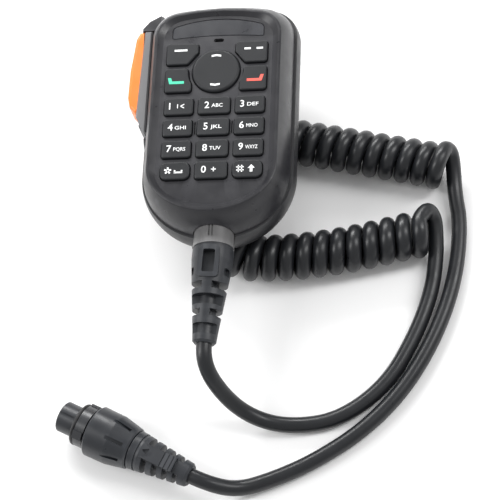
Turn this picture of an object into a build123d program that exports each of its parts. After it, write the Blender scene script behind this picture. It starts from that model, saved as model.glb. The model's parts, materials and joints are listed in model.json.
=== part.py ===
from build123d import *
import math
import os

os.makedirs("parts", exist_ok=True)

# Hand microphone with a keypad, a push-to-talk paddle, a curly cord and a round plug.
# Frame: origin on the flat back, at the seat of the hang-up stud. +Z comes out of the
# keypad face, +Y points to the top of the microphone, +X to the right of the keypad.
# The microphone lies on its back, on the bend of its own coiled cord.

# ---------------------------------------------------------------- driving dimensions
# Housing
FACE_Z = 27.4  # top of the rim around the keypad
PANEL_Z = 26.2  # keypad panel, sunk inside the rim
SPLIT_Z = 14.0  # joint between the front and the rear housing
WALL = 1.8
PANEL_BACK_Z = PANEL_Z - WALL

# Outlines: half width, top, bottom and chin height of the body at one height
BACK = (25.6, 21.6, -69.4, 25.0)
BELLY = (29.0, 25.2, -73.1, 28.0)
REAR_RIM = (28.4, 24.9, -72.4, 26.0)
FRONT_EDGE = (27.5, 24.1, -71.5, 24.0)
FRONT_SHOULDER = (26.3, 21.4, -69.6, 21.5)
CREST = (24.0, 17.3, -66.4, 18.0)
CREST_INSIDE = (23.0, 16.5, -65.3, 16.0)
PANEL = (20.9, 14.9, -63.4, 13.0)

# Keypad
COLUMN = 13.35
ROW = 8.82
PAD_Y = -37.0  # middle of the twelve number keys
KEY_TOP_Z = 27.4
KEY_HEIGHT = 7.1
KEY_MIDDLE_WIDTH = 12.1
KEY_SIDE_WIDTH = 11.1
KEY_CORNER = 1.3
KEY_TRAVEL = 0.7
GROOVE_X = 6.93  # middle of the gap between two key columns
HOLE_GAP = 0.25  # clearance around each key in the panel
LIP = 0.35  # flange of a key, under the panel
LIP_TOP_Z = 23.9
LIP_BOTTOM_Z = 22.6
NAV_Y = -9.0
NAV_RADIUS = 9.1
NAV_TILT_LIP_Z = 23.5

# Boards and mats behind the keys
MAT_Z = (20.6, 21.6)
DOME_Z = (20.0, 20.2)
BOARD_Z = (18.4, 20.0)

# Hang-up stud
STUD_NECK_RADIUS = 3.4
STUD_HEAD_RADIUS = 6.2
STUD_NECK = 3.2
STUD_HEAD = 2.4

# Push-to-talk paddle on the left side
PTT_PIVOT = (-29.3, -24.0)
PTT_PIN_RADIUS = 0.9
PTT_FRONT_Z = 18.2
PTT_BACK_Z = 5.6
PTT_SWITCH_Y = -6.0

# Cord
CORD_D = 5.8
COIL_D = 17.8
SURFACE_Z = -0.3 - COIL_D  # the surface that the coil and the plug lie on
CORD_Z = SURFACE_Z + CORD_D / 2
COIL_Z = SURFACE_Z + COIL_D / 2

# Boot at the chin: start, end and radii
GLAND_Z = 14.0
BOOT_START = (0.0, -76.7, GLAND_Z)
COLLAR_END_Y = -76.1
BOOT_END = (-2.0, -112.0, 12.2)
BOOT_RADIUS = 7.6
BOOT_TIP_RADIUS = 4.15

# Plug: nose tip, direction of its axis and stations along the axis
SLEEVE_RADIUS = 9.6
PLUG_TIP = (-57.4, -131.6, SURFACE_Z + SLEEVE_RADIUS)
PLUG_ANGLE = -25.0
NOSE_RADIUS = 5.8
NOSE_LENGTH = 7.2
SLEEVE_START = 13.4
SLEEVE_END = 30.5
COLLAR_END = 33.4
PLUG_BOOT_END = 54.0


def save(piece, name):
    """Label a finished piece and write its STEP file."""
    piece.part.label = name
    export_step(piece.part, f"parts/{name}.step")


def body_outline(size):
    """Return the body's outline: bowed top, straight sides and an elliptical chin."""
    half, top, bottom, chin = size
    side_low = bottom + chin
    with BuildSketch() as outline:
        with BuildLine():
            ThreePointArc((-half, top - 3.1), (0, top), (half, top - 3.1))
            Line((half, top - 3.1), (half, side_low))
            EllipticalCenterArc((0, side_low), half, chin, start_angle=180, arc_size=180)
            Line((-half, side_low), (-half, top - 3.1))
        make_face()
        fillet(outline.vertices().group_by(Axis.Y)[-1], radius=0.42 * half)
    return outline.sketch


def ring_sketch(outer, inner):
    """Return the band between two outlines."""
    with BuildSketch() as band:
        add(body_outline(outer))
        add(body_outline(inner), mode=Mode.SUBTRACT)
    return band.sketch


def shrink(size, amount):
    """Return an outline's size, smaller by amount on every side."""
    half, top, bottom, chin = size
    return (half - amount, top - amount, bottom + amount, chin - amount)


# ------------------------------------------------------------------- key outlines
def plain_key(x, y, width, corner):
    """Return a rounded rectangle, the outline of a number key."""
    with BuildSketch() as key:
        with Locations((x, y)):
            RectangleRounded(width, KEY_HEIGHT, corner)
    return key.sketch


def beside_disc(points, radius):
    """Return a key outline that is cut back around the navigation disc."""
    with BuildSketch() as key:
        with BuildLine():
            Polyline(*points, close=True)
        make_face()
        with Locations((0, NAV_Y)):
            Circle(NAV_RADIUS + 1.3, mode=Mode.SUBTRACT)
        fillet(key.vertices(), radius=radius)
    return key.sketch


def disc_key():
    """Return the outline of the navigation disc."""
    with BuildSketch() as key:
        with Locations((0, NAV_Y)):
            Circle(NAV_RADIUS)
    return key.sketch


def mirrored(points):
    """Return points mirrored to the other side of the keypad."""
    return [(-x, y) for x, y in points]


SOFT_KEY = [(19.2, 3.0), (7.0, 3.0), (7.0, -1.4), (11.0, -6.1), (19.2, -6.1)]
CALL_KEY = [(19.2, -7.6), (9.0, -7.6), (9.0, -17.8), (19.2, -17.8)]

key_outlines = {}
number_keys = ["1", "2", "3", "4", "5", "6", "7", "8", "9", "star", "0", "hash"]
for index, symbol in enumerate(number_keys):
    column = index % 3 - 1
    row = 1.5 - index // 3
    key_width = KEY_SIDE_WIDTH if column else KEY_MIDDLE_WIDTH
    corner = 2.4 if symbol in ("star", "hash") else KEY_CORNER
    key_outlines[f"key_{symbol}"] = plain_key(column * COLUMN, PAD_Y + row * ROW, key_width, corner)
key_outlines["soft_key_left"] = beside_disc(mirrored(SOFT_KEY), KEY_CORNER)
key_outlines["soft_key_right"] = beside_disc(SOFT_KEY, KEY_CORNER)
key_outlines["call_key"] = beside_disc(mirrored(CALL_KEY), KEY_CORNER)
key_outlines["end_key"] = beside_disc(CALL_KEY, KEY_CORNER)
key_outlines["nav_key"] = disc_key()

# ------------------------------------------------------------------- fixing points
board_bosses = [(-21.1, 0.5), (21.1, 0.5), (-21.1, -27.0), (21.1, -27.0), (-21.1, -49.0), (21.1, -49.0)]
housing_bosses = [(-18.6, 10.6), (18.6, 10.6), (-15.0, -60.2), (15.0, -60.2)]
BOARD_BOSS_RADIUS = 1.4
BOARD_SCREW_RADIUS = 0.75
HOUSING_BOSS_RADIUS = 3.0
THREAD_RADIUS = 1.0
THREAD_HOLE = 1.05

# Pocket for the push-to-talk paddle, seen from the front
CLAMP_POSTS = [(-7.4, -61.0), (7.4, -61.0)]  # posts beside the cord clamp
POD = [
    (-24.0, 23.0),
    (-29.4, 20.0),
    (-32.2, 16.6),
    (-33.0, -19.8),
    (-29.3, -29.6),
    (-28.2, -36.0),
    (-24.0, -38.0),
]
POCKET = [(-25.8, 15.4), (-40.0, 15.4), (-40.0, -31.5), (-28.4, -31.5), (-26.6, -29.8)]
POCKET_WALL = [(-24.2, 16.6), (-26.3, 16.6), (-27.2, -31.0), (-25.0, -31.0)]
PADDLE = [(-27.5, 14.7), (-30.4, 14.7), (-31.8, -22.4), (-28.4, -28.9), (-27.6, -28.9)]
STRIP = [
    (-30.9, 14.9),
    (-32.6, 14.9),
    (-34.0, 12.0),
    (-35.5, -2.0),
    (-35.7, -13.4),
    (-34.8, -17.6),
    (-32.6, -20.0),
    (-30.2, -20.0),
]
POD_TOP_Z = 17.2
POD_FLOOR_Z = 5.0
SWITCH_Z = 9.6

# ------------------------------------------------------------------- front housing
with BuildPart() as front_housing:
    for height, size in ((SPLIT_Z, FRONT_EDGE), (21.5, FRONT_SHOULDER), (FACE_Z, CREST)):
        with BuildSketch(Plane.XY.offset(height)):
            add(body_outline(size))
    loft()
    fillet(front_housing.faces().sort_by(Axis.Z)[-1].edges(), radius=0.7)
    # panel sunk inside the rim, with sloping sides
    for height, size in ((PANEL_Z, PANEL), (FACE_Z + 0.02, CREST_INSIDE)):
        with BuildSketch(Plane.XY.offset(height)):
            add(body_outline(size))
    loft(ruled=True, mode=Mode.SUBTRACT)
    # shoulder and upper part of the paddle's pocket
    with BuildSketch(Plane.XY.offset(SPLIT_Z)) as shoulder:
        with BuildLine():
            Polyline(*POD, close=True)
        make_face()
        fillet(shoulder.vertices().sort_by(Axis.X)[:5], radius=1.6)
    extrude(amount=POD_TOP_Z - SPLIT_Z, taper=12)
    # cavity
    for height, size in ((SPLIT_Z, shrink(FRONT_EDGE, WALL)), (PANEL_BACK_Z, shrink(CREST, WALL - 0.4))):
        with BuildSketch(Plane.XY.offset(height)):
            add(body_outline(size))
    loft(ruled=True, mode=Mode.SUBTRACT)
    with BuildSketch(Plane.XY.offset(SPLIT_Z)):
        with BuildLine():
            Polyline(*POCKET_WALL, close=True)
        make_face()
    extrude(amount=5.0)
    with BuildSketch(Plane.XY.offset(SPLIT_Z - 1)):
        with BuildLine():
            Polyline(*POCKET, close=True)
        make_face()
    extrude(amount=PTT_FRONT_Z + 8 - SPLIT_Z, mode=Mode.SUBTRACT)
    # bosses that take the board screws and the housing screws
    with BuildSketch(Plane.XY.offset(PANEL_BACK_Z + 0.3)):
        with Locations(*board_bosses):
            Circle(BOARD_BOSS_RADIUS)
    extrude(amount=BOARD_Z[1] + 0.05 - PANEL_BACK_Z - 0.3)
    with BuildSketch(Plane.XY.offset(PANEL_BACK_Z + 0.3)):
        with Locations(*housing_bosses):
            Circle(HOUSING_BOSS_RADIUS)
    extrude(amount=SPLIT_Z + 0.2 - PANEL_BACK_Z - 0.3)
    with BuildSketch(Plane.XY.offset(SPLIT_Z)):
        with Locations(*board_bosses):
            Circle(BOARD_SCREW_RADIUS + 0.05)
        with Locations(*housing_bosses):
            Circle(THREAD_HOLE)
    extrude(amount=PANEL_BACK_Z - 1.0 - SPLIT_Z, mode=Mode.SUBTRACT)
    # openings for the keys
    with BuildSketch(Plane.XY.offset(PANEL_BACK_Z - 1)):
        for outline in key_outlines.values():
            offset(outline, amount=HOLE_GAP, mode=Mode.ADD)
    extrude(amount=6, mode=Mode.SUBTRACT)
    # microphone slot
    with BuildSketch(Plane.XY.offset(PANEL_BACK_Z - 1)):
        with Locations((0.4, 4.4)):
            SlotOverall(3.9, 1.5)
    extrude(amount=6, mode=Mode.SUBTRACT)
    # short grooves beside the middle key of the second row
    with BuildSketch(Plane.XY.offset(PANEL_Z - 0.7)):
        with Locations((-GROOVE_X, PAD_Y + ROW / 2), (GROOVE_X, PAD_Y + ROW / 2)):
            SlotOverall(5.2, 0.5, rotation=90)
    extrude(amount=2, mode=Mode.SUBTRACT)
    # recess for the name plate
    with BuildSketch(Plane.XY.offset(PANEL_Z - 0.8)) as plate_recess:
        with BuildLine():
            ThreePointArc((-17.6, 5.4), (0, 6.3), (17.6, 5.4))
            Line((17.6, 5.4), (17.6, 10.6))
            ThreePointArc((17.6, 10.6), (0, 13.7), (-17.6, 10.6))
            Line((-17.6, 10.6), (-17.6, 5.4))
        make_face()
        fillet(plate_recess.vertices().group_by(Axis.Y)[-1], radius=2.2)
        fillet(plate_recess.vertices().group_by(Axis.Y)[0], radius=0.8)
    extrude(amount=3, mode=Mode.SUBTRACT)
    # opening in the chin for the gland collar
    with BuildSketch(Plane.XZ.offset(60)):
        with Locations((0, GLAND_Z)):
            Circle(BOOT_RADIUS + 0.15)
    extrude(amount=20, mode=Mode.SUBTRACT)
save(front_housing, "front_housing")

# ------------------------------------------------------------------- rear housing
with BuildPart() as rear_housing:
    for height, size in ((0, BACK), (7.5, BELLY), (SPLIT_Z, REAR_RIM)):
        with BuildSketch(Plane.XY.offset(height)):
            add(body_outline(size))
    loft()
    fillet(rear_housing.faces().sort_by(Axis.Z)[0].edges(), radius=2.6)
    # pod that carries the paddle
    with BuildSketch(Plane.XY.offset(SPLIT_Z)) as pod_plan:
        with BuildLine():
            Polyline(*POD, close=True)
        make_face()
        fillet(pod_plan.vertices().sort_by(Axis.X)[:5], radius=1.6)
    extrude(amount=2.6 - SPLIT_Z, taper=14)
    # cavity
    rear_cavity = (
        (WALL, shrink(BACK, WALL)),
        (7.5, shrink(BELLY, WALL + 0.4)),
        (SPLIT_Z, shrink(REAR_RIM, 2.5)),
    )
    for height, size in rear_cavity:
        with BuildSketch(Plane.XY.offset(height)):
            add(body_outline(size))
    loft(mode=Mode.SUBTRACT)
    with BuildSketch(Plane.XY.offset(WALL - 0.2)):
        with BuildLine():
            Polyline(*POCKET_WALL, close=True)
        make_face()
    extrude(amount=SPLIT_Z - WALL + 0.2)
    with BuildSketch(Plane.XY.offset(POD_FLOOR_Z)):
        with BuildLine():
            Polyline(*POCKET, close=True)
        make_face()
    extrude(amount=20, mode=Mode.SUBTRACT)
    # hole for the paddle's pin, window to the switch and the switch's shelf
    with BuildSketch(Plane.XY.offset(POD_FLOOR_Z - 2.0)):
        with Locations(PTT_PIVOT):
            Circle(PTT_PIN_RADIUS)
    extrude(amount=4, mode=Mode.SUBTRACT)
    with BuildSketch(Plane.YZ.offset(-28.5)):
        with Locations((PTT_SWITCH_Y, SWITCH_Z)):
            Rectangle(5.4, 5.4)
    extrude(amount=5.5, mode=Mode.SUBTRACT)
    with BuildSketch(Plane.XY.offset(WALL - 0.2)):
        with Locations((-18.6, PTT_SWITCH_Y)):
            Rectangle(6.4, 8.4)
    extrude(amount=SWITCH_Z - 3.0 - WALL + 0.2)
    # tubes and counterbores for the housing screws
    with BuildSketch(Plane.XY.offset(WALL - 0.2)):
        with Locations(*housing_bosses):
            Circle(HOUSING_BOSS_RADIUS)
    extrude(amount=SPLIT_Z - 0.1 - WALL + 0.2)
    with BuildSketch(Plane.XY):
        with Locations(*housing_bosses):
            Circle(2.3)
    extrude(amount=7.0, mode=Mode.SUBTRACT)
    with BuildSketch(Plane.XY):
        with Locations(*housing_bosses):
            Circle(THREAD_HOLE + 0.15)
    extrude(amount=SPLIT_Z, mode=Mode.SUBTRACT)
    # posts for the cord clamp
    with BuildSketch(Plane.XY.offset(WALL - 0.2)):
        with Locations(*CLAMP_POSTS):
            Circle(2.2)
    extrude(amount=GLAND_Z - CORD_D / 2 - 0.2 - WALL + 0.2)
    with BuildSketch(Plane.XY.offset(4)):
        with Locations(*CLAMP_POSTS):
            Circle(THREAD_HOLE)
    extrude(amount=10, mode=Mode.SUBTRACT)
    # boss and hole for the hang-up stud
    with BuildSketch(Plane.XY.offset(WALL - 0.2)):
        Circle(6.4)
    extrude(amount=2.2)
    with BuildSketch(Plane.XY):
        Circle(2.1)
    extrude(amount=8, mode=Mode.SUBTRACT)
    # grip grooves across the back and a shallow recess below them
    with BuildSketch(Plane.XY):
        with Locations((0, -13.5), (0, -17.3), (0, -21.1)):
            SlotOverall(32, 1.5)
    extrude(amount=0.7, mode=Mode.SUBTRACT)
    with BuildSketch(Plane.XY):
        with Locations((0, -41)):
            RectangleRounded(34, 26, 2.5)
    extrude(amount=0.4, mode=Mode.SUBTRACT)
    # groove for the seal
    with BuildSketch(Plane.XY.offset(SPLIT_Z - 0.75)):
        add(ring_sketch(shrink(FRONT_EDGE, 0.35), shrink(FRONT_EDGE, 1.25)))
    extrude(amount=2, mode=Mode.SUBTRACT)
    # opening in the chin for the gland collar
    with BuildSketch(Plane.XZ.offset(60)):
        with Locations((0, GLAND_Z)):
            Circle(BOOT_RADIUS + 0.15)
    extrude(amount=20, mode=Mode.SUBTRACT)
save(rear_housing, "rear_housing")

# ------------------------------------------------------- seal, name plate, hang-up stud
with BuildPart() as housing_seal:
    with BuildSketch(Plane.XY.offset(SPLIT_Z - 0.7)):
        add(ring_sketch(shrink(FRONT_EDGE, 0.4), shrink(FRONT_EDGE, 1.2)))
    extrude(amount=0.68)
    # the seal stops beside the paddle's pocket and at the gland collar
    with BuildSketch(Plane.XY.offset(SPLIT_Z - 2)):
        with Locations((-28, -8)):
            Rectangle(8, 53)
        with Locations((0, -72)):
            Rectangle(2 * BOOT_RADIUS + 0.8, 10)
    extrude(amount=4, mode=Mode.SUBTRACT)
save(housing_seal, "housing_seal")

with BuildPart() as name_plate:
    with BuildSketch(Plane.XY.offset(PANEL_Z - 0.75)) as plate_plan:
        with BuildLine():
            ThreePointArc((-17.4, 5.6), (0, 6.5), (17.4, 5.6))
            Line((17.4, 5.6), (17.4, 10.5))
            ThreePointArc((17.4, 10.5), (0, 13.5), (-17.4, 10.5))
            Line((-17.4, 10.5), (-17.4, 5.6))
        make_face()
        fillet(plate_plan.vertices().group_by(Axis.Y)[-1], radius=2.0)
        fillet(plate_plan.vertices().group_by(Axis.Y)[0], radius=0.7)
    extrude(amount=0.8)
    chamfer(name_plate.faces().sort_by(Axis.Z)[-1].edges(), length=0.15)
save(name_plate, "name_plate")

stud_profile = [
    (2.2, -STUD_NECK - STUD_HEAD + 1.4),
    (2.2, 0.0),
    (5.0, 0.0),
    (5.0, -0.7),
    (STUD_NECK_RADIUS, -1.0),
    (STUD_NECK_RADIUS, -STUD_NECK),
    (STUD_HEAD_RADIUS, -STUD_NECK - 0.3),
    (STUD_HEAD_RADIUS, -STUD_NECK - STUD_HEAD + 0.8),
    (STUD_HEAD_RADIUS - 0.9, -STUD_NECK - STUD_HEAD),
    (4.0, -STUD_NECK - STUD_HEAD),
    (4.0, -STUD_NECK - STUD_HEAD + 1.4),
]
with BuildPart() as hang_up_stud:
    with BuildSketch(Plane.XZ):
        with BuildLine():
            Polyline(*stud_profile, close=True)
        make_face()
    revolve(axis=Axis.Z)
save(hang_up_stud, "hang_up_stud")

STUD_PLATE_Z = WALL + 2.0
with BuildPart() as stud_plate:
    with BuildSketch(Plane.XY.offset(STUD_PLATE_Z)):
        RectangleRounded(15, 10, 1.5)
        Circle(2.05, mode=Mode.SUBTRACT)
    extrude(amount=1.6)
save(stud_plate, "stud_plate")

SCREW_HEAD_Z = -STUD_NECK - STUD_HEAD
with BuildPart() as stud_screw:
    with BuildSketch(Plane.XY.offset(SCREW_HEAD_Z)):
        Circle(3.6)
    extrude(amount=1.4)
    with BuildSketch(Plane.XY.offset(SCREW_HEAD_Z + 1.3)):
        Circle(2.0)
    extrude(amount=STUD_PLATE_Z + 3.6 - SCREW_HEAD_Z - 1.3)
    with BuildSketch(Plane.XY.offset(SCREW_HEAD_Z)):
        Rectangle(4.4, 0.9)
        Rectangle(0.9, 4.4)
    extrude(amount=1.0, mode=Mode.SUBTRACT)
save(stud_screw, "stud_screw")


# ------------------------------------------------------------------------- fasteners
def screw_group(places, head_z, head_radius, head_height, shank_radius, tip_z):
    """Return a group of pan-head screws that point up, with cross recesses."""
    with BuildPart() as group:
        with BuildSketch(Plane.XY.offset(head_z)):
            with Locations(*places):
                Circle(head_radius)
        extrude(amount=head_height)
        fillet(group.faces().sort_by(Axis.Z)[0:len(places)].edges(), radius=0.35)
        with BuildSketch(Plane.XY.offset(head_z + head_height - 0.2)):
            with Locations(*places):
                Circle(shank_radius)
        extrude(amount=tip_z - head_z - head_height + 0.2)
        with BuildSketch(Plane.XY.offset(head_z)):
            with Locations(*places):
                Rectangle(head_radius * 1.3, 0.45)
                Rectangle(0.45, head_radius * 1.3)
        extrude(amount=head_height * 0.6, mode=Mode.SUBTRACT)
    return group


housing_screws = screw_group(housing_bosses, 5.2, 2.05, 1.7, THREAD_RADIUS, 21.0)
save(housing_screws, "housing_screws")
board_screws = screw_group(board_bosses, BOARD_Z[0] - 1.1, 1.4, 1.05, BOARD_SCREW_RADIUS, 22.8)
save(board_screws, "board_screws")

# ----------------------------------------------------------------- boards and mats
MAT_PLAN = [(-19.4, 4.2), (19.4, 4.2), (19.4, -54.6), (-19.4, -54.6)]
BOARD_PLAN = [(-20.0, 6.0), (20.0, 6.0), (22.2, 3.0), (22.0, -50.0), (18.0, -56.6), (-18.0, -56.6),
              (-22.0, -50.0), (-22.2, 3.0)]
MIC_PLACE = (0.4, 5.6)
led_places = [(column * COLUMN, PAD_Y + row * ROW + 4.41) for row in (1.5, -0.5) for column in (-1, 0, 1)]

with BuildPart() as keypad_mat:
    with BuildSketch(Plane.XY.offset(MAT_Z[0])):
        with BuildLine():
            Polyline(*MAT_PLAN, close=True)
        make_face()
        with Locations(MIC_PLACE):
            Circle(4.7, mode=Mode.SUBTRACT)
        with Locations(*board_bosses):
            Circle(BOARD_BOSS_RADIUS + 0.4, mode=Mode.SUBTRACT)
    extrude(amount=MAT_Z[1] - MAT_Z[0])
    # raised rim that seals against the panel
    with BuildSketch(Plane.XY.offset(MAT_Z[0] + 0.2)):
        with Locations((0, -55.4)):
            Rectangle(30, 1.6)
    extrude(amount=3.4)
save(keypad_mat, "keypad_mat")

with BuildPart() as dome_sheet:
    with BuildSketch(Plane.XY.offset(DOME_Z[0])):
        with Locations((0, -25.6)):
            Rectangle(38, 57)
        with Locations(*led_places):
            Rectangle(2.4, 1.6, mode=Mode.SUBTRACT)
        with Locations(MIC_PLACE):
            Circle(4.7, mode=Mode.SUBTRACT)
        with Locations(*board_bosses):
            Circle(BOARD_BOSS_RADIUS + 0.4, mode=Mode.SUBTRACT)
    extrude(amount=DOME_Z[1] - DOME_Z[0])
save(dome_sheet, "dome_sheet")

with BuildPart() as main_board:
    with BuildSketch(Plane.XY.offset(BOARD_Z[0])):
        with BuildLine():
            Polyline(*BOARD_PLAN, close=True)
        make_face()
        with Locations(*board_bosses):
            Circle(BOARD_SCREW_RADIUS + 0.2, mode=Mode.SUBTRACT)
    extrude(amount=BOARD_Z[1] - BOARD_Z[0])
save(main_board, "main_board")

with BuildPart() as backlight_leds:
    with BuildSketch(Plane.XY.offset(BOARD_Z[1])):
        with Locations(*led_places):
            Rectangle(1.6, 0.8)
    extrude(amount=0.5)
save(backlight_leds, "backlight_leds")

chips = [((-8, -12), 9, 9, 1.0), ((9, -18), 7, 5, 1.2), ((-7, -32), 5, 4, 1.0), ((8, -34), 6, 6, 0.9)]
with BuildPart() as board_chips:
    for place, length, width, height in chips:
        with BuildSketch(Plane.XY.offset(BOARD_Z[0])):
            with Locations(place):
                Rectangle(length, width)
        extrude(amount=-height)
save(board_chips, "board_chips")

CONNECTOR_Y = -47.0
with BuildPart() as board_connector:
    with BuildSketch(Plane.XY.offset(BOARD_Z[0])):
        with Locations((0, CONNECTOR_Y)):
            Rectangle(13, 5)
    extrude(amount=-4.2)
    with BuildSketch(Plane.XY.offset(BOARD_Z[0] - 0.8)):
        with Locations((0, CONNECTOR_Y - 0.8)):
            Rectangle(11.4, 3.4)
    extrude(amount=-2.6, mode=Mode.SUBTRACT)
save(board_connector, "board_connector")

# microphone capsule in its rubber boot, behind the slot
CAPSULE_Z = (21.6, 23.4)
with BuildPart() as mic_capsule:
    with BuildSketch(Plane.XY.offset(CAPSULE_Z[0])):
        with Locations(MIC_PLACE):
            Circle(3.0)
    extrude(amount=CAPSULE_Z[1] - CAPSULE_Z[0])
save(mic_capsule, "mic_capsule")

with BuildPart() as mic_boot:
    with BuildSketch(Plane.XY.offset(BOARD_Z[1])):
        with Locations(MIC_PLACE):
            Circle(4.2)
    extrude(amount=PANEL_BACK_Z - BOARD_Z[1] - 0.02)
    with BuildSketch(Plane.XY.offset(CAPSULE_Z[0])):
        with Locations(MIC_PLACE):
            Circle(3.0)
    extrude(amount=CAPSULE_Z[1] - CAPSULE_Z[0], mode=Mode.SUBTRACT)
    with BuildSketch(Plane.XY.offset(CAPSULE_Z[1])):
        with Locations((0.4, 4.6)):
            Circle(1.6)
    extrude(amount=2, mode=Mode.SUBTRACT)
save(mic_boot, "mic_boot")

# ------------------------------------------------------------------------------ keys
for name, outline in key_outlines.items():
    lip_top = NAV_TILT_LIP_Z if name == "nav_key" else LIP_TOP_Z
    crown = 1.0 if name == "nav_key" else 0.55
    with BuildPart() as key:
        with BuildSketch(Plane.XY.offset(LIP_BOTTOM_Z)):
            add(outline)
        extrude(amount=KEY_TOP_Z - LIP_BOTTOM_Z)
        fillet(key.faces().sort_by(Axis.Z)[-1].edges(), radius=crown)
        with BuildSketch(Plane.XY.offset(LIP_BOTTOM_Z)):
            offset(outline, amount=LIP)
        extrude(amount=lip_top - LIP_BOTTOM_Z)
    save(key, name)

# ------------------------------------------------------------- push-to-talk paddle
PADDLE_Z = PTT_BACK_Z + 0.3
with BuildPart() as ptt_paddle:
    with BuildSketch(Plane.XY.offset(PADDLE_Z)) as paddle_plan:
        with BuildLine():
            Polyline(*PADDLE, close=True)
        make_face()
        fillet(paddle_plan.vertices().group_by(Axis.Y)[-1], radius=0.6)
    extrude(amount=PTT_FRONT_Z - PADDLE_Z)
    chamfer(ptt_paddle.faces().sort_by(Axis.Z)[-1].edges().sort_by(Axis.X)[:2], length=0.6)
    # nub that presses the switch through its seal
    with BuildSketch(Plane.YZ.offset(-27.7)):
        with Locations((PTT_SWITCH_Y, SWITCH_Z)):
            Circle(1.5)
    extrude(amount=1.3)
    # bearing for the pin
    with BuildSketch(Plane.XY.offset(PADDLE_Z)):
        with Locations(PTT_PIVOT):
            Circle(2.1)
    extrude(amount=8)
    with BuildSketch(Plane.XY.offset(PADDLE_Z - 1)):
        with Locations(PTT_PIVOT):
            Circle(PTT_PIN_RADIUS + 0.05)
    extrude(amount=9.4, mode=Mode.SUBTRACT)
    # seat for the coloured strip
    with BuildSketch(Plane.XY.offset(PADDLE_Z + 0.6)) as strip_seat:
        with BuildLine():
            Polyline(*STRIP, close=True)
        make_face()
        with Locations(PTT_PIVOT):
            Circle(1.9, mode=Mode.SUBTRACT)
    extrude(amount=11.0, mode=Mode.SUBTRACT)
save(ptt_paddle, "ptt_paddle")

with BuildPart() as ptt_strip:
    with BuildSketch(Plane.XY.offset(PADDLE_Z + 0.6)) as strip_plan:
        with BuildLine():
            Polyline(*STRIP, close=True)
        make_face()
        fillet(strip_plan.vertices().sort_by(Axis.X)[:4], radius=1.8)
    extrude(amount=11.0)
    outer_edges = ptt_strip.edges().filter_by_position(Axis.X, -40, -31.2)
    fillet(outer_edges.filter_by(Plane.XY), radius=1.4)
    with BuildSketch(Plane.XY.offset(PADDLE_Z)):
        with Locations(PTT_PIVOT):
            Circle(2.15)
    extrude(amount=8.1, mode=Mode.SUBTRACT)
save(ptt_strip, "ptt_strip")

with BuildPart() as ptt_pin:
    with BuildSketch(Plane.XY.offset(POD_FLOOR_Z - 2.0)):
        with Locations(PTT_PIVOT):
            Circle(PTT_PIN_RADIUS)
    extrude(amount=PADDLE_Z + 8.0 - POD_FLOOR_Z + 2.0)
save(ptt_pin, "ptt_pin")

with BuildPart() as ptt_seal:
    with BuildSketch(Plane.YZ.offset(-24.15)):
        with Locations((PTT_SWITCH_Y, SWITCH_Z)):
            RectangleRounded(8.0, 7.4, 1.0)
    extrude(amount=0.7)
    with BuildSketch(Plane.YZ.offset(-24.15)):
        with Locations((PTT_SWITCH_Y, SWITCH_Z)):
            Circle(1.4)
    extrude(amount=0.3, mode=Mode.SUBTRACT)
save(ptt_seal, "ptt_seal")

with BuildPart() as ptt_switch:
    with BuildSketch(Plane.XY.offset(SWITCH_Z - 2.95)):
        with Locations((-18.4, PTT_SWITCH_Y)):
            Rectangle(5.8, 6.4)
    extrude(amount=5.9)
    with BuildSketch(Plane.YZ.offset(-22)):
        with Locations((PTT_SWITCH_Y, SWITCH_Z)):
            Circle(1.3)
    extrude(amount=3.2, mode=Mode.SUBTRACT)
save(ptt_switch, "ptt_switch")

with BuildPart() as ptt_plunger:
    with BuildSketch(Plane.YZ.offset(-23.0)):
        with Locations((PTT_SWITCH_Y, SWITCH_Z)):
            Circle(1.2)
    extrude(amount=3.0)
    fillet(ptt_plunger.edges().sort_by(Axis.X)[0], radius=0.4)
save(ptt_plunger, "ptt_plunger")

# ------------------------------------------------------ gland collar, clamp and boot
GLAND_AXIS = Axis((0, 0, GLAND_Z), (0, -1, 0))
CORD_BORE = CORD_D / 2 + 0.02
collar_profile = [
    (-64.0, CORD_BORE),
    (-64.0, 6.2),
    (-66.0, BOOT_RADIUS - 0.3),
    (COLLAR_END_Y, BOOT_RADIUS),
    (COLLAR_END_Y, CORD_BORE),
]
with BuildPart() as gland_collar:
    with BuildSketch(Plane.XY.offset(GLAND_Z)):
        with BuildLine():
            Polyline(*[(radius, y) for y, radius in collar_profile], close=True)
        make_face()
    revolve(axis=GLAND_AXIS)
    # short slot on the front of the collar
    with BuildSketch(Plane.XY.offset(GLAND_Z + BOOT_RADIUS - 0.6)):
        with Locations((0, -71.4)):
            Rectangle(1.7, 4.6)
            Rectangle(0.6, 4.6, mode=Mode.SUBTRACT)
    extrude(amount=2, mode=Mode.SUBTRACT)
save(gland_collar, "gland_collar")

CLAMP_Z = GLAND_Z - CORD_D / 2 - 0.2
with BuildPart() as cord_clamp:
    with BuildSketch(Plane.XZ.offset(58.8)):
        with Locations((0, CLAMP_Z + 0.9)):
            Rectangle(19.0, 1.6)
        with Locations((0, GLAND_Z)):
            Circle(CORD_D / 2 + 1.7)
            Circle(CORD_BORE, mode=Mode.SUBTRACT)
        with Locations((0, CLAMP_Z - 3)):
            Rectangle(20, 6.2, mode=Mode.SUBTRACT)
        with Locations((0, GLAND_Z)):
            Circle(CORD_BORE, mode=Mode.SUBTRACT)
    extrude(amount=4.4)
    with BuildSketch(Plane.XY.offset(CLAMP_Z)):
        with Locations(*CLAMP_POSTS):
            Circle(THREAD_HOLE)
    extrude(amount=5, mode=Mode.SUBTRACT)
save(cord_clamp, "cord_clamp")

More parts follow.
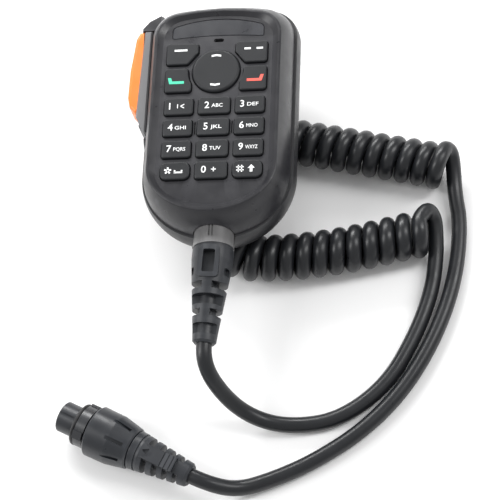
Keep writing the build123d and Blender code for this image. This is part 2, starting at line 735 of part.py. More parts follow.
with BuildPart() as clamp_screws:
    for side in (-7.4, 7.4):
        with BuildSketch(Plane.XY.offset(CLAMP_Z + 1.75)):
            with Locations((side, -61.0)):
                Circle(1.9)
        extrude(amount=1.2)
        with BuildSketch(Plane.XY.offset(CLAMP_Z + 1.85)):
            with Locations((side, -61.0)):
                Circle(THREAD_RADIUS)
        extrude(amount=-6.5)
save(clamp_screws, "clamp_screws")

with BuildPart() as inner_cable:
    with BuildSketch(Plane.XZ.offset(57.0)):
        with Locations((0, GLAND_Z)):
            Circle(CORD_D / 2)
    extrude(amount=-COLLAR_END_Y - 57.0)
save(inner_cable, "inner_cable")

wires = [(-4.5, -3), (-2.7, -2), (-0.9, -1), (0.9, 1), (2.7, 2), (4.5, 3)]
with BuildPart() as wire_harness:
    for wire_x, fan in wires:
        with BuildLine():
            Spline(
                (fan * 0.9, -57.0, GLAND_Z),
                (0.6 * wire_x + 0.2 * fan, -54.4, GLAND_Z - 1.2),
                (wire_x, -50.9, GLAND_Z + 1.6),
                tangents=[(0, 1, 0), (0, 1, 0.6)],
            )
        with BuildSketch(Plane((fan * 0.9, -57.0, GLAND_Z), x_dir=(1, 0, 0), z_dir=(0, 1, 0))):
            Circle(0.4)
        sweep()
save(wire_harness, "wire_harness")

boot_direction = (Vector(*BOOT_END) - Vector(*BOOT_START)).normalized()
BOOT_LENGTH = (Vector(*BOOT_END) - Vector(*BOOT_START)).length
BOOT_AXIS = Axis(BOOT_START, boot_direction)
BOOT_SECTION = Plane(origin=BOOT_START, x_dir=boot_direction, z_dir=boot_direction.cross(Vector(1, 0, 0)))
BOOT_CROSS = Plane(origin=BOOT_START, x_dir=boot_direction.cross(BOOT_SECTION.z_dir), z_dir=boot_direction)
BOOT_CORE = 3.3
boot_profile = [
    (0.0, 0.0),
    (0.0, BOOT_RADIUS),
    (4.0, BOOT_RADIUS),
    (12.0, 6.8),
    (BOOT_LENGTH - 4.5, BOOT_TIP_RADIUS + 0.5),
    (BOOT_LENGTH - 0.8, BOOT_TIP_RADIUS + 0.2),
    (BOOT_LENGTH, BOOT_TIP_RADIUS - 0.5),
    (BOOT_LENGTH, 0.0),
]
# relief slots: start along the boot, width, and whether they open to the sides
boot_slots = [(13.4, 2.5, True), (18.0, 3.7, False), (23.4, 2.4, True), (28.6, 3.7, False)]
with BuildPart() as cord_boot:
    with BuildSketch(BOOT_SECTION):
        with BuildLine():
            Polyline(*boot_profile, close=True)
        make_face()
    revolve(axis=BOOT_AXIS)
    with BuildSketch(Plane.XZ.offset(-COLLAR_END_Y)):
        with Locations((0, GLAND_Z)):
            Circle(BOOT_RADIUS - 0.3)
    extrude(amount=1.6)
    for start, width, sideways in boot_slots:
        with BuildSketch(BOOT_CROSS.offset(start)):
            Circle(12)
            Circle(BOOT_CORE, mode=Mode.SUBTRACT)
            if sideways:
                Rectangle(3.6, 24, mode=Mode.SUBTRACT)
            else:
                Rectangle(24, 3.6, mode=Mode.SUBTRACT)
        extrude(amount=width, mode=Mode.SUBTRACT)
    # flat pad with a window in the front, and two small side pockets
    with BuildSketch(BOOT_SECTION.offset(3.0)):
        with Locations((6.2, 0)):
            RectangleRounded(12.0, 7.8, 1.6)
    extrude(amount=4.2)
    with BuildSketch(BOOT_SECTION.offset(BOOT_RADIUS - 3.2)):
        with Locations((6.1, 0)):
            RectangleRounded(8.6, 4.4, 0.6)
    extrude(amount=5, mode=Mode.SUBTRACT)
    with BuildSketch(BOOT_SECTION.offset(1.0)):
        with Locations((9.2, 6.3), (9.2, -6.3)):
            RectangleRounded(2.8, 1.4, 0.4)
    extrude(amount=8, mode=Mode.SUBTRACT)
save(cord_boot, "cord_boot")


# ------------------------------------------------------------------------------ cord
def corner_radii(points):
    """Return the largest smooth arc at each inner point of a route."""
    radii = []
    for before, corner, after in zip(points, points[1:], points[2:]):
        into = Vector(*corner) - Vector(*before)
        away = Vector(*after) - Vector(*corner)
        half_turn = math.radians(into.get_angle(away)) / 2
        radii.append(0.45 * min(into.length, away.length) / math.tan(half_turn))
    return radii


def tube(points, radius, name):
    """Return a round tube along straight runs joined by tangent arcs."""
    radii = corner_radii(points)
    first_run = Vector(*points[1]) - Vector(*points[0])
    with BuildPart() as hose:
        with BuildLine() as path:
            FilletPolyline(*points, radius=radii)
        with BuildSketch(Plane(origin=points[0], z_dir=first_run)):
            Circle(radius)
        sweep()
    expected = math.pi * radius**2 * path.wire().length
    print(name, "arc radii", [round(r, 1) for r in radii])
    print(name, "length", round(path.wire().length, 1), "volume ratio", round(hose.part.volume / expected, 4))
    return hose


COIL_ROUTE = [
    (70.7, -62.2, COIL_Z),
    (54.5, -66.1, COIL_Z),
    (38.0, -68.8, COIL_Z),
    (21.0, -70.3, COIL_Z),
    (6.0, -70.0, COIL_Z),
    (-6.0, -62.0, COIL_Z),
    (-10.5, -48.0, COIL_Z),
    (-8.0, -33.5, COIL_Z),
    (3.0, -22.8, COIL_Z),
    (19.0, -20.0, COIL_Z),
    (38.5, -24.3, COIL_Z),
    (57.0, -28.5, COIL_Z),
    (78.3, -33.2, COIL_Z),
]
MIC_SIDE_ROUTE = [
    (67.42, -57.25, -7.2),
    (73.8, -55.72, -7.2),
    (80.0, -60.6, -9.8),
    (79.6, -70.0, -13.4),
    (77.2, -84.0, CORD_Z),
    (71.0, -101.0, CORD_Z),
    (61.0, -119.0, CORD_Z),
    (44.0, -132.0, CORD_Z),
    (26.0, -134.5, CORD_Z),
    (12.5, -131.8, -12.5),
    (3.4, -127.0, -1.5),
    (-2.4, -119.0, 11.84),
    BOOT_END,
]
PLUG_SIDE_ROUTE = [
    (-8.46, -154.42, PLUG_TIP[2]),
    (-1.7, -157.57, PLUG_TIP[2]),
    (8.0, -158.2, -14.0),
    (20.0, -154.2, CORD_Z),
    (35.0, -147.6, CORD_Z),
    (53.0, -135.8, CORD_Z),
    (68.0, -119.8, CORD_Z),
    (79.4, -99.0, CORD_Z),
    (86.2, -78.0, CORD_Z),
    (88.5, -56.0, CORD_Z),
    (86.8, -43.0, -13.9),
    (85.4, -33.6, -10.2),
    (81.1, -28.1, -7.2),
    (74.6, -26.67, -7.2),
]
cord_coil = tube(COIL_ROUTE, COIL_D / 2, "cord_coil")
save(cord_coil, "cord_coil")
cord_mic_side = tube(MIC_SIDE_ROUTE, CORD_D / 2, "cord_mic_side")
save(cord_mic_side, "cord_mic_side")
cord_plug_side = tube(PLUG_SIDE_ROUTE, CORD_D / 2, "cord_plug_side")
save(cord_plug_side, "cord_plug_side")

# ------------------------------------------------------------------------------ plug
plug_direction = Vector(math.cos(math.radians(PLUG_ANGLE)), math.sin(math.radians(PLUG_ANGLE)), 0)
PLUG_AXIS = Axis(PLUG_TIP, plug_direction)
PLUG_SECTION = Plane(origin=PLUG_TIP, x_dir=plug_direction, z_dir=(0, 0, 1))
PLUG_CROSS = Plane(origin=PLUG_TIP, x_dir=(0, 0, 1), z_dir=plug_direction)


def turned(profile):
    """Return a solid turned about the plug's axis from (station, radius) points."""
    with BuildPart() as solid:
        with BuildSketch(PLUG_SECTION):
            with BuildLine():
                Polyline(*profile, close=True)
            make_face()
        revolve(axis=PLUG_AXIS)
    return solid


SOCKET_RADIUS = 4.9
with BuildPart() as plug_shell:
    add(turned([
        (0.0, SOCKET_RADIUS),
        (0.0, NOSE_RADIUS - 0.4),
        (0.4, NOSE_RADIUS),
        (NOSE_LENGTH, NOSE_RADIUS),
        (NOSE_LENGTH, 6.6),
        (SLEEVE_START - 0.6, 6.6),
        (SLEEVE_START - 0.6, 7.3),
        (15.6, 7.3),
        (15.6, 6.4),
        (30.6, 6.4),
        (30.6, 4.4),
        (8.0, 4.4),
        (8.0, SOCKET_RADIUS),
    ]))
    # keyway along the nose
    with BuildSketch(PLUG_CROSS):
        with Locations((NOSE_RADIUS, 0)):
            Rectangle(0.9, 0.7)
    extrude(amount=NOSE_LENGTH - 1.2, mode=Mode.SUBTRACT)
save(plug_shell, "plug_shell")

with BuildPart() as plug_o_ring:
    with BuildSketch(PLUG_SECTION):
        with Locations((NOSE_LENGTH + 0.75, 6.62 + 0.7)):
            Circle(0.7)
    revolve(axis=PLUG_AXIS)
save(plug_o_ring, "plug_o_ring")

with BuildPart() as bayonet_ring:
    add(turned([
        (NOSE_LENGTH + 1.6, 6.65),
        (NOSE_LENGTH + 1.6, 7.9),
        (SLEEVE_START - 0.9, 7.9),
        (SLEEVE_START - 0.9, 6.65),
    ]))
    # lugs that lock in the radio's socket
    with BuildSketch(PLUG_CROSS.offset(NOSE_LENGTH + 1.6)):
        with PolarLocations(7.9, 3, start_angle=40):
            Rectangle(1.4, 3.2)
        Circle(7.2, mode=Mode.SUBTRACT)
    extrude(amount=SLEEVE_START - 0.9 - NOSE_LENGTH - 1.6)
save(bayonet_ring, "bayonet_ring")

FLUTES = 8
flute_profile = [(SLEEVE_START + 7.0, SLEEVE_RADIUS + 0.1), (SLEEVE_END - 2.2, 7.0), (SLEEVE_END - 2.2, 11.0)]
with BuildPart() as coupling_sleeve:
    add(turned([
        (SLEEVE_START, 8.2),
        (SLEEVE_START, SLEEVE_RADIUS - 0.7),
        (SLEEVE_START + 0.7, SLEEVE_RADIUS),
        (SLEEVE_START + 9.0, SLEEVE_RADIUS - 0.2),
        (SLEEVE_START + 14.0, 8.4),
        (SLEEVE_END - 0.5, 7.9),
        (SLEEVE_END, 7.4),
        (SLEEVE_END, 6.5),
        (16.0, 6.5),
        (16.0, 7.5),
        (14.8, 7.5),
        (14.8, 8.2),
    ]))
    # grip flutes that deepen towards the rear
    for flute in range(FLUTES):
        turn = math.radians(12 + 360 * flute / FLUTES)
        flute_normal = PLUG_CROSS.x_dir * math.sin(turn) - PLUG_CROSS.y_dir * math.cos(turn)
        with BuildSketch(Plane(origin=PLUG_TIP, x_dir=plug_direction, z_dir=flute_normal)):
            with BuildLine():
                Polyline(*flute_profile, close=True)
            make_face()
        extrude(amount=0.65, both=True, mode=Mode.SUBTRACT)
save(coupling_sleeve, "coupling_sleeve")

CONTACTS = 8
with BuildPart() as contact_insert:
    add(turned([(4.0, 0.0), (4.0, 4.3), (12.0, 4.3), (12.0, 0.0)]))
    with BuildSketch(PLUG_CROSS.offset(3.0)):
        with PolarLocations(2.8, CONTACTS):
            Circle(0.47)
    extrude(amount=10, mode=Mode.SUBTRACT)
save(contact_insert, "contact_insert")

with BuildPart() as contact_pins:
    with BuildSketch(PLUG_CROSS.offset(1.4)):
        with PolarLocations(2.8, CONTACTS):
            Circle(0.45)
    extrude(amount=12.2)
save(contact_pins, "contact_pins")

with BuildPart() as plug_collar:
    add(turned([(29.0, 0.0), (29.0, 4.35), (30.8, 4.35), (30.8, 7.3), (COLLAR_END, 7.1), (COLLAR_END, 0.0)]))
    fillet(plug_collar.edges().filter_by(GeomType.CIRCLE).group_by(SortBy.RADIUS)[-1], radius=0.3)
save(plug_collar, "plug_collar")

plug_boot_slots = [(36.4, 2.1), (40.7, 2.1), (44.8, 2.0), (48.8, 1.9)]
with BuildPart() as plug_boot:
    add(turned([
        (COLLAR_END, 0.0),
        (COLLAR_END, 6.7),
        (COLLAR_END + 1.2, 6.9),
        (PLUG_BOOT_END - 0.8, 4.5),
        (PLUG_BOOT_END, 3.8),
        (PLUG_BOOT_END, 0.0),
    ]))
    for start, width in plug_boot_slots:
        with BuildSketch(PLUG_CROSS.offset(start)):
            Circle(12)
            Circle(3.3, mode=Mode.SUBTRACT)
            Rectangle(24, 5.0, mode=Mode.SUBTRACT)
        extrude(amount=width, mode=Mode.SUBTRACT)
    # flat raised pad on the top with an alignment arrow, and cross steps at its end
    with BuildSketch(PLUG_SECTION.offset(2.0)):
        with Locations((41.6, 0)):
            Rectangle(13.6, 5.6)
    extrude(amount=4.3)
    with BuildSketch(PLUG_SECTION.offset(6.0)):
        with Locations((36.9, 0)):
            Triangle(a=2.6, B=60, C=60, rotation=90)
        with Locations((43.6, 0), (45.4, 0), (47.2, 0)):
            Rectangle(0.5, 6.0)
    extrude(amount=1.0, mode=Mode.SUBTRACT)
save(plug_boot, "plug_boot")
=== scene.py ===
import json
import math

import bmesh
import bpy
from mathutils import Matrix, Vector


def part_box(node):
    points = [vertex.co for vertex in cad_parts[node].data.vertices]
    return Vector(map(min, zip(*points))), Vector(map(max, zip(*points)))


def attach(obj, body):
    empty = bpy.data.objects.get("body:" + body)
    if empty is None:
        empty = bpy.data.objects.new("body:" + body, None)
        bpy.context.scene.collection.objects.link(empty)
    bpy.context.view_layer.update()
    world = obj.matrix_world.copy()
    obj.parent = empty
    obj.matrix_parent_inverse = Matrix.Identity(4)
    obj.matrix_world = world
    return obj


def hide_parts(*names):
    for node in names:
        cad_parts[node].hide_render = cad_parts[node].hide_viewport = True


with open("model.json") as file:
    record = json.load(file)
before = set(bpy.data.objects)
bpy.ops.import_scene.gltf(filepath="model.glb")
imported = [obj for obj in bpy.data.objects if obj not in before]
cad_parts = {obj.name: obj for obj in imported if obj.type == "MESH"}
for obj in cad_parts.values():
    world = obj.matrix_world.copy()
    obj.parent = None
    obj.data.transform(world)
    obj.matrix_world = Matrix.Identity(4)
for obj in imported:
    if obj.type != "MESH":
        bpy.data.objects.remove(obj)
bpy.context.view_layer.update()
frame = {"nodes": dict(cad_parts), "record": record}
nodes = frame["nodes"]
MM = 0.001
ROOT = "microphone"


# ---------------------------------------------------------------------- camera
CAMERA_AZIMUTH = math.radians(21.45)
CAMERA_ELEVATION = math.radians(64.96)
CAMERA_ROLL = math.radians(-21.06)
CAMERA_DISTANCE = 0.6239
CAMERA_ANGLE = math.radians(17.5)
CLIP_START = 0.01

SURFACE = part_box("cord_coil")[0].z  # the coil and the plug lie on this height
TARGET = Vector((0.008, -0.0627, SURFACE))


def add_camera():
    back = Vector((
        math.sin(CAMERA_AZIMUTH) * math.cos(CAMERA_ELEVATION),
        -math.cos(CAMERA_AZIMUTH) * math.cos(CAMERA_ELEVATION),
        math.sin(CAMERA_ELEVATION),
    ))
    level = Vector((math.cos(CAMERA_AZIMUTH), math.sin(CAMERA_AZIMUTH), 0))
    above = back.cross(level)
    right = level * math.cos(CAMERA_ROLL) + above * math.sin(CAMERA_ROLL)
    up = above * math.cos(CAMERA_ROLL) - level * math.sin(CAMERA_ROLL)
    data = bpy.data.cameras.new("camera")
    data.sensor_fit = "HORIZONTAL"
    data.angle = CAMERA_ANGLE
    data.clip_start = CLIP_START
    camera = bpy.data.objects.new("camera", data)
    turn = Matrix((right, up, back)).transposed().to_4x4()
    camera.matrix_world = Matrix.Translation(TARGET + back * CAMERA_DISTANCE) @ turn
    bpy.context.scene.collection.objects.link(camera)
    bpy.context.scene.camera = camera


add_camera()

# ------------------------------------------------------------------- materials
def new_material(name):
    material = bpy.data.materials.new(name)
    material.use_nodes = True
    tree = material.node_tree
    shader = tree.nodes["Principled BSDF"]
    return material, tree, shader


def noise_node(tree, scale, detail=3.0, rough=0.5):
    place = tree.nodes.new("ShaderNodeTexCoord")
    noise = tree.nodes.new("ShaderNodeTexNoise")
    noise.inputs["Scale"].default_value = scale
    noise.inputs["Detail"].default_value = detail
    noise.inputs["Roughness"].default_value = rough
    tree.links.new(place.outputs["Object"], noise.inputs["Vector"])
    return noise


def ramp_node(tree, source, stops):
    ramp = tree.nodes.new("ShaderNodeValToRGB")
    for index, (position, colour) in enumerate(stops):
        if index < 2:
            stop = ramp.color_ramp.elements[index]
            stop.position = position
        else:
            stop = ramp.color_ramp.elements.new(position)
        stop.color = (*colour, 1.0)
    tree.links.new(source, ramp.inputs["Fac"])
    return ramp


def range_node(tree, source, low, high):
    spread = tree.nodes.new("ShaderNodeMapRange")
    spread.inputs["From Min"].default_value = 0.3
    spread.inputs["From Max"].default_value = 0.7
    spread.inputs["To Min"].default_value = low
    spread.inputs["To Max"].default_value = high
    tree.links.new(source, spread.inputs["Value"])
    return spread


def moulded(name, colour, rough=0.5, grain=2600.0, bump=0.12, depth=0.00006, spec=0.5,
            variation=0.12, worn_and_highlit_edge_amount=0.5, coat=0.0):
    """A moulded plastic or rubber: fine grain, uneven gloss, cloudy colour, and sharp edges lightened partly
    as worn plastic and partly as a painted highlight.
    """
    material, tree, shader = new_material(name)
    cloud = noise_node(tree, 55.0, 4.0, 0.6)
    darker = tuple(c * (1 - variation) for c in colour)
    lighter = tuple(min(1.0, c * (1 + variation)) for c in colour)
    base = ramp_node(tree, cloud.outputs["Fac"], [(0.3, darker), (0.7, lighter)])
    # Pointiness lightens the sharp edges: partly worn plastic, partly a painted highlight along the crests.
    geometry = tree.nodes.new("ShaderNodeNewGeometry")
    worn_and_highlit_edge_mask = tree.nodes.new("ShaderNodeMapRange")
    worn_and_highlit_edge_mask.inputs["From Min"].default_value = 0.52
    worn_and_highlit_edge_mask.inputs["From Max"].default_value = 0.60
    worn_and_highlit_edge_mask.inputs["To Max"].default_value = worn_and_highlit_edge_amount
    tree.links.new(geometry.outputs["Pointiness"], worn_and_highlit_edge_mask.inputs["Value"])
    worn_and_highlit_edge_mix = tree.nodes.new("ShaderNodeMix")
    worn_and_highlit_edge_mix.data_type = "RGBA"
    worn_and_highlit_edge_mix.inputs["B"].default_value = (*[min(1.0, c * 1.9 + 0.02) for c in colour], 1.0)
    tree.links.new(worn_and_highlit_edge_mask.outputs["Result"], worn_and_highlit_edge_mix.inputs["Factor"])
    tree.links.new(base.outputs["Color"], worn_and_highlit_edge_mix.inputs["A"])
    tree.links.new(worn_and_highlit_edge_mix.outputs["Result"], shader.inputs["Base Color"])
    patches = noise_node(tree, 160.0, 5.0, 0.65)
    gloss = range_node(tree, patches.outputs["Fac"], rough - 0.07, rough + 0.09)
    tree.links.new(gloss.outputs["Result"], shader.inputs["Roughness"])
    texture = noise_node(tree, grain, 2.0, 0.6)
    relief = tree.nodes.new("ShaderNodeBump")
    relief.inputs["Strength"].default_value = bump
    relief.inputs["Distance"].default_value = depth
    tree.links.new(texture.outputs["Fac"], relief.inputs["Height"])
    tree.links.new(relief.outputs["Normal"], shader.inputs["Normal"])
    shader.inputs["Specular IOR Level"].default_value = spec
    shader.inputs["Coat Weight"].default_value = coat
    shader.inputs["Coat Roughness"].default_value = 0.3
    return material


def metal(name, colour, rough=0.3, scratch=900.0):
    """A turned or plated metal with fine scratches and uneven gloss."""
    material, tree, shader = new_material(name)
    cloud = noise_node(tree, 300.0, 4.0, 0.6)
    base = ramp_node(tree, cloud.outputs["Fac"], [(0.3, tuple(c * 0.85 for c in colour)), (0.7, colour)])
    tree.links.new(base.outputs["Color"], shader.inputs["Base Color"])
    gloss = range_node(tree, cloud.outputs["Fac"], rough - 0.08, rough + 0.12)
    tree.links.new(gloss.outputs["Result"], shader.inputs["Roughness"])
    lines = noise_node(tree, scratch, 2.0, 0.7)
    relief = tree.nodes.new("ShaderNodeBump")
    relief.inputs["Strength"].default_value = 0.15
    relief.inputs["Distance"].default_value = 0.00003
    tree.links.new(lines.outputs["Fac"], relief.inputs["Height"])
    tree.links.new(relief.outputs["Normal"], shader.inputs["Normal"])
    shader.inputs["Metallic"].default_value = 1.0
    return material


front_material = moulded("front_plastic", (0.017, 0.017, 0.020), rough=0.33, spec=0.42)
rear_material = moulded("rear_plastic", (0.022, 0.022, 0.024), rough=0.38, spec=0.42)
collar_material = moulded("collar_plastic", (0.100, 0.099, 0.100), rough=0.34, spec=0.5)
key_material = moulded(
    "key_rubber", (0.013, 0.014, 0.016), rough=0.45, grain=4200.0, bump=0.08, worn_and_highlit_edge_amount=0.35, spec=0.32,
)
plate_material = moulded("name_plate", (0.014, 0.015, 0.019), rough=0.32, bump=0.05)
paddle_material = moulded("paddle_plastic", (0.10, 0.10, 0.104), rough=0.45)
strip_material = moulded(
    "strip_plastic", (0.90, 0.21, 0.025), rough=0.36, bump=0.05, variation=0.06, worn_and_highlit_edge_amount=0.1,
)
boot_material = moulded("boot_rubber", (0.020, 0.022, 0.026), rough=0.42, bump=0.1, spec=0.4)
cord_material = moulded(
    "cord_jacket", (0.010, 0.011, 0.013), rough=0.34, grain=3500.0, bump=0.05, worn_and_highlit_edge_amount=0.0, spec=0.42,
)
plug_material = moulded("plug_plastic", (0.018, 0.020, 0.024), rough=0.34, bump=0.08, spec=0.45)
ring_material = moulded("bayonet_plastic", (0.012, 0.013, 0.015), rough=0.25, bump=0.05)
seal_material = moulded("seal_rubber", (0.010, 0.010, 0.011), rough=0.5)
board_material = moulded("board_mask", (0.010, 0.090, 0.035), rough=0.35)
film_material = moulded("dome_film", (0.35, 0.37, 0.40), rough=0.3)
led_material = moulded("led_lens", (0.80, 0.76, 0.45), rough=0.25)
wire_material = moulded("wire_jacket", (0.45, 0.06, 0.05), rough=0.5)
steel_material = metal("plated_steel", (0.42, 0.42, 0.44))
stud_material = metal("turned_steel", (0.58, 0.58, 0.60), rough=0.25)
gold_material = metal("gold_plate", (0.83, 0.62, 0.28), rough=0.2)
white_print = moulded("white_print", (0.86, 0.87, 0.87), rough=0.55, variation=0.03, worn_and_highlit_edge_amount=0.0)
green_print = moulded("green_print", (0.06, 0.62, 0.38), rough=0.55, variation=0.05, worn_and_highlit_edge_amount=0.0)
red_print = moulded("red_print", (0.85, 0.11, 0.08), rough=0.55, variation=0.05, worn_and_highlit_edge_amount=0.0)

slot_materials = {
    "front_plastic": front_material, "rear_plastic": rear_material, "name_plate": plate_material,
    "collar_plastic": collar_material, "key_rubber": key_material, "mat_rubber": seal_material,
    "dome_film": film_material, "board": board_material, "board_parts": seal_material,
    "led": led_material, "capsule_metal": steel_material, "screw_steel": steel_material,
    "stud_metal": stud_material, "clamp_plastic": seal_material, "paddle_plastic": paddle_material,
    "strip_plastic": strip_material, "boot_rubber": boot_material, "cord_jacket": cord_material,
    "wires": wire_material, "plug_plastic": plug_material, "bayonet": ring_material,
    "o_ring": seal_material, "insert_plastic": seal_material, "contacts": gold_material,
}
for subpart in frame["record"]["subparts"]:
    mesh = nodes[subpart["node"]].data
    material = slot_materials[subpart["material_slot"]]
    if mesh.materials:
        for index in range(len(mesh.materials)):
            mesh.materials[index] = material
    else:
        mesh.materials.append(material)

# ------------------------------------------------------------------------ cord
CORD_D = 0.0058
COIL_RADIUS = 0.0060
COIL_PITCH = 6.3 * MM
POINTS_PER_TURN = 16
COIL_Z = -9.2
CORD_Z = -15.2
PLUG_Z = -8.5
BOOT_END = (-2.0, -112.0, 12.2)
# from the boot to the coil's lower end
MIC_SIDE_ROUTE = [
    BOOT_END,
    (-2.4, -119.0, 11.84),
    (3.4, -127.0, -1.5),
    (12.5, -131.8, -12.5),
    (26.0, -134.5, CORD_Z),
    (44.0, -132.0, CORD_Z),
    (61.0, -119.0, CORD_Z),
    (71.0, -101.0, CORD_Z),
    (77.2, -84.0, CORD_Z),
    (79.3, -70.0, -14.2),
    (79.4, -60.5, -11.6),
    (78.9, -55.0, -9.2),
    (76.6, -53.4, -4.8),
]
COIL_ROUTE = [
    (74.2, -61.3, COIL_Z),
    (54.5, -66.1, COIL_Z),
    (38.0, -68.8, COIL_Z),
    (21.0, -70.3, COIL_Z),
    (6.0, -70.0, COIL_Z),
    (-6.0, -62.0, COIL_Z),
    (-10.5, -48.0, COIL_Z),
    (-8.0, -33.5, COIL_Z),
    (3.0, -22.8, COIL_Z),
    (19.0, -20.0, COIL_Z),
    (38.5, -24.3, COIL_Z),
    (57.0, -28.5, COIL_Z),
    (82.0, -34.0, COIL_Z),
]
# from the coil's upper end to the plug
PLUG_SIDE_ROUTE = [
    (83.6, -28.4, -4.6),
    (85.6, -28.6, -8.0),
    (86.2, -34.0, -12.0),
    (86.5, -43.0, -14.4),
    (88.5, -56.0, CORD_Z),
    (86.2, -78.0, CORD_Z),
    (79.4, -99.0, CORD_Z),
    (68.0, -119.8, CORD_Z),
    (53.0, -135.8, CORD_Z),
    (35.0, -147.6, CORD_Z),
    (20.0, -154.2, CORD_Z),
    (8.0, -158.2, -14.0),
    (-1.7, -157.57, PLUG_Z),
    (-8.46, -154.42, PLUG_Z),
]


def metres(points):
    return [Vector(point) * MM for point in points]


def spline_curve(name, points):
    """A NURBS curve of order 3 that ends in its end points."""
    data = bpy.data.curves.new(name, "CURVE")
    data.dimensions = "3D"
    data.resolution_u = 12
    spline = data.splines.new("NURBS")
    spline.points.add(len(points) - 1)
    for target, point in zip(spline.points, points):
        target.co = (*point, 1.0)
    spline.order_u = 3
    spline.use_endpoint_u = True
    return bpy.data.objects.new(name, data)


def evaluated_line(points):
    """The points that the NURBS spline through this route follows."""
    guide = spline_curve("guide", points)
    bpy.context.scene.collection.objects.link(guide)
    bpy.context.view_layer.update()
    mesh = bpy.data.meshes.new_from_object(guide)
    line = [vertex.co.copy() for vertex in mesh.vertices]
    bpy.data.objects.remove(guide)
    bpy.data.meshes.remove(mesh)
    return line


def at_length(line, lengths, distance):
    """Place and direction at a distance along a line."""
    index = 1
    while index < len(line) - 1 and lengths[index] < distance:
        index += 1
    span = lengths[index] - lengths[index - 1]
    share = (distance - lengths[index - 1]) / span
    place = line[index - 1].lerp(line[index], share)
    return place, (line[index] - line[index - 1]).normalized()


FIRST_ANGLE = math.radians(115)  # over the top of the first turn
LAST_ANGLE = math.radians(62)
SPLINE_SHRINK = 0.25 * math.cos(2 * math.pi / POINTS_PER_TURN) + 0.75


def helix_points():
    """Turns of the curly cord around the coil's axis, left-handed."""
    line = evaluated_line(metres(COIL_ROUTE))
    lengths = [0.0]
    for before, after in zip(line, line[1:]):
        lengths.append(lengths[-1] + (after - before).length)
    whole = lengths[-1]
    turns = round(whole / COIL_PITCH)
    sweep = 2 * math.pi * turns + FIRST_ANGLE - LAST_ANGLE
    count = round(sweep / (2 * math.pi) * POINTS_PER_TURN)
    points = []
    for step in range(count + 1):
        share = step / count
        place, ahead = at_length(line, lengths, share * whole)
        side = Vector((0, 0, 1)).cross(ahead).normalized()
        angle = FIRST_ANGLE - sweep * share
        from_end = min(share, 1 - share) * turns
        radius = COIL_RADIUS / SPLINE_SHRINK * (1 + 0.12 * max(0.0, 1 - from_end / 0.7))
        points.append(place + radius * (math.cos(angle) * side + math.sin(angle) * Vector((0, 0, 1))))
    return points


STEPS_ALONG_CORD = 8
STEPS_AROUND_CORD = 7


def add_cord():
    route = metres(MIC_SIDE_ROUTE) + helix_points() + metres(PLUG_SIDE_ROUTE)
    cord = spline_curve("curly_cord", route)
    cord.data.bevel_depth = CORD_D / 2
    cord.data.bevel_resolution = STEPS_AROUND_CORD
    cord.data.use_fill_caps = True
    cord.data.resolution_u = STEPS_ALONG_CORD
    cord.data.materials.append(cord_material)
    bpy.context.scene.collection.objects.link(cord)
    line = evaluated_line(route)
    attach(cord, ROOT)
    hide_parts("cord_mic_side", "cord_coil", "cord_plug_side")


add_cord()

# --------------------------------------------------------------------- legends
KEY_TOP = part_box("key_5")[1].z
PRINT_HEIGHT = 0.00006


def print_flat(name, material, corners, body, height=KEY_TOP):
    """A flat printed mark on a key, from closed outlines in millimetres from the key's middle."""
    low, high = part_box(body)
    middle = (low + high) / 2
    mesh = bpy.data.meshes.new(name)
    build = bmesh.new()
    for outline in corners:
        rings = []
        for level in (height, height + PRINT_HEIGHT):
            rings.append([build.verts.new((middle.x + x * MM, middle.y + y * MM, level)) for x, y in outline])
        count = len(outline)
        build.faces.new(rings[0])
        build.faces.new(rings[1])
        for index in range(count):
            following = (index + 1) % count
            build.faces.new((rings[0][index], rings[0][following], rings[1][following], rings[1][index]))
    bmesh.ops.recalc_face_normals(build, faces=build.faces[:])
    build.to_mesh(mesh)
    build.free()
    mesh.materials.append(material)
    piece = bpy.data.objects.new(name, mesh)
    bpy.context.scene.collection.objects.link(piece)
    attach(piece, body)
    return piece


def print_text(name, words, size, x, y, body, bold=0.0, width=None):
    """Raised print of a digit or letters on a key, squeezed to a width in millimetres if one is given."""
    low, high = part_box(body)
    middle = (low + high) / 2
    data = bpy.data.curves.new(name, "FONT")
    data.body = words
    data.size = size * MM
    data.align_x = "LEFT"
    data.align_y = "CENTER"
    data.extrude = PRINT_HEIGHT
    data.offset = bold * MM
    data.resolution_u = 3
    data.materials.append(white_print)
    source = bpy.data.objects.new(name + "_source", data)
    bpy.context.scene.collection.objects.link(source)
    bpy.context.view_layer.update()
    mesh = bpy.data.meshes.new_from_object(source)
    bpy.data.objects.remove(source)
    left = min(vertex.co.x for vertex in mesh.vertices)
    right = max(vertex.co.x for vertex in mesh.vertices)
    squeeze = width * MM / (right - left) if width else 1.0
    place = Matrix.Translation((middle.x + x * MM, middle.y + y * MM, KEY_TOP))
    mesh.transform(place @ Matrix.Diagonal((squeeze, 1, 1, 1)) @ Matrix.Translation((-left, 0, 0)))
    piece = bpy.data.objects.new(name, mesh)
    bpy.context.scene.collection.objects.link(piece)
    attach(piece, body)
    return piece


def bar(x0, y0, x1, y1, thick):
    """Outline of a straight stroke."""
    along = Vector((x1 - x0, y1 - y0)).normalized()
    across = Vector((-along.y, along.x)) * thick / 2
    return [(x0 - across.x, y0 - across.y), (x1 - across.x, y1 - across.y),
            (x1 + across.x, y1 + across.y), (x0 + across.x, y0 + across.y)]


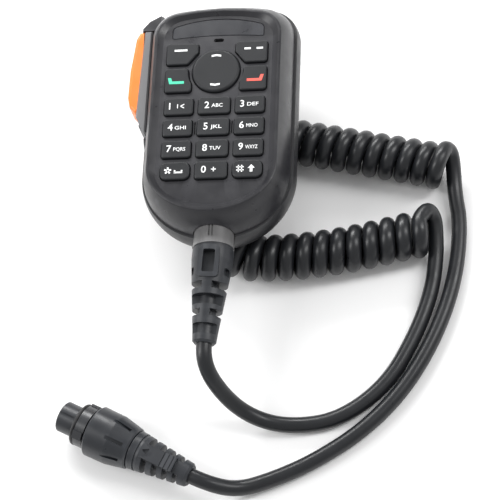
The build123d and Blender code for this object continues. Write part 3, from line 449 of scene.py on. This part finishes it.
LETTERS = {
    "2": "ABC", "3": "DEF", "4": "GHI", "5": "JKL", "6": "MNO", "7": "PQRS", "8": "TUV", "9": "WXYZ",
}
LETTER_WIDTHS = {3: 4.2, 4: 4.5}
for digit in "1234567890":
    body = f"key_{digit}"
    print_text(f"digit_{digit}", digit, 3.9, -3.5, 0.0, body, bold=0.035)
    if digit == "0":
        print_text("letters_0", "+", 3.6, 0.2, -0.1, body, bold=0.03)
    elif digit in LETTERS:
        words = LETTERS[digit]
        width = LETTER_WIDTHS[len(words)]
        print_text(f"letters_{digit}", words, 2.05, -0.9, -0.2, body, bold=0.015, width=width)
print_flat("mark_1", white_print, [bar(-0.3, -0.85, -0.3, 0.85, 0.32), bar(0.75, 0, 2.2, 0.8, 0.34),
                                   bar(0.75, 0, 2.2, -0.8, 0.34)], "key_1")
star_strokes = [bar(-2.5, 0, -2.5 + 1.35 * math.cos(a), 1.35 * math.sin(a), 0.62)
                for a in (math.radians(90 + 72 * spoke) for spoke in range(5))]
print_flat("mark_star", white_print, star_strokes, "key_star")
print_flat("mark_space", white_print, [bar(-0.2, -0.8, 3.0, -0.8, 0.62), bar(0.1, -0.8, 0.1, 0.15, 0.6),
                                       bar(2.7, -0.8, 2.7, 0.15, 0.6)], "key_star")
hash_strokes = [bar(-3.9, 0.6, -1.1, 0.6, 0.42), bar(-3.9, -0.6, -1.1, -0.6, 0.42),
                bar(-3.1, -1.4, -3.1, 1.4, 0.42), bar(-1.9, -1.4, -1.9, 1.4, 0.42)]
print_flat("mark_hash", white_print, hash_strokes, "key_hash")
arrow = [(1.1, -1.4), (2.1, -1.4), (2.1, 0.1), (2.9, 0.1), (1.6, 1.5), (0.3, 0.1), (1.1, 0.1)]
print_flat("mark_arrow", white_print, [arrow], "key_hash")
print_flat("mark_soft_left", white_print, [bar(-3.0, 1.5, 1.9, 1.5, 0.8)], "soft_key_left")
print_flat("mark_soft_right", white_print, [bar(-2.6, 1.2, -0.2, 1.2, 0.8), bar(2.0, 1.2, 4.4, 1.2, 0.8)],
           "soft_key_right")
print_flat("mark_call", green_print, [[(-3.3, -1.6), (2.3, -1.6), (2.3, -0.5), (-2.2, -0.5), (-2.7, 1.0),
                                       (-3.9, 1.0)]], "call_key")
print_flat("mark_end", red_print, [[(-2.2, -1.6), (3.3, -1.6), (4.1, 1.1), (2.9, 1.1), (2.4, -0.5),
                                    (-2.2, -0.5)]], "end_key")
nav_up = [(-1.8, 5.6), (0, 5.9), (1.8, 5.6), (1.8, 6.4), (0, 6.7), (-1.8, 6.4)]
print_flat("mark_nav_up", white_print, [nav_up], "nav_key")
print_flat("mark_nav_down", white_print, [[(-1.8, -6.4), (0, -6.7), (1.8, -6.4), (1.8, -5.6), (0, -5.9),
                                           (-1.8, -5.6)]], "nav_key")


# ---------------------------------------------------------------- floor and light
def add_floor():
    mesh = bpy.data.meshes.new("floor")
    half = 3.0
    middle = TARGET
    corners = [(middle.x + a * half, middle.y + b * half, SURFACE - 0.0001)
               for a, b in ((-1, -1), (1, -1), (1, 1), (-1, 1))]
    mesh.from_pydata(corners, [], [(0, 1, 2, 3)])
    floor = bpy.data.objects.new("floor", mesh)
    bpy.context.scene.collection.objects.link(floor)
    material, tree, shader = new_material("floor_white")
    shader.inputs["Base Color"].default_value = (0.93, 0.93, 0.93, 1)
    shader.inputs["Roughness"].default_value = 0.7
    mesh.materials.append(material)


def add_light(name, place, size, power, colour=(1, 1, 1)):
    data = bpy.data.lights.new(name, "AREA")
    data.shape = "RECTANGLE"
    data.size, data.size_y = size
    data.energy = power
    data.color = colour
    light = bpy.data.objects.new(name, data)
    light.location = TARGET + Vector(place)
    light.rotation_euler = Vector(place).to_track_quat("Z", "Y").to_euler()
    bpy.context.scene.collection.objects.link(light)


WORLD_STRENGTH = 0.6


def add_world():
    world = bpy.data.worlds.new("studio")
    world.use_nodes = True
    background = world.node_tree.nodes["Background"]
    background.inputs["Color"].default_value = (1, 1, 1, 1)
    background.inputs["Strength"].default_value = WORLD_STRENGTH
    bpy.context.scene.world = world


add_floor()
add_world()
add_light("top_light", (-0.3, 0.95, 0.7), (1.0, 0.3), 13.0)
add_light("left_light", (-0.9, -0.1, 0.75), (0.3, 0.9), 7.0)
add_light("right_light", (0.75, 0.2, 0.85), (0.25, 0.8), 6.0)
bpy.context.scene.view_settings.view_transform = "Standard"
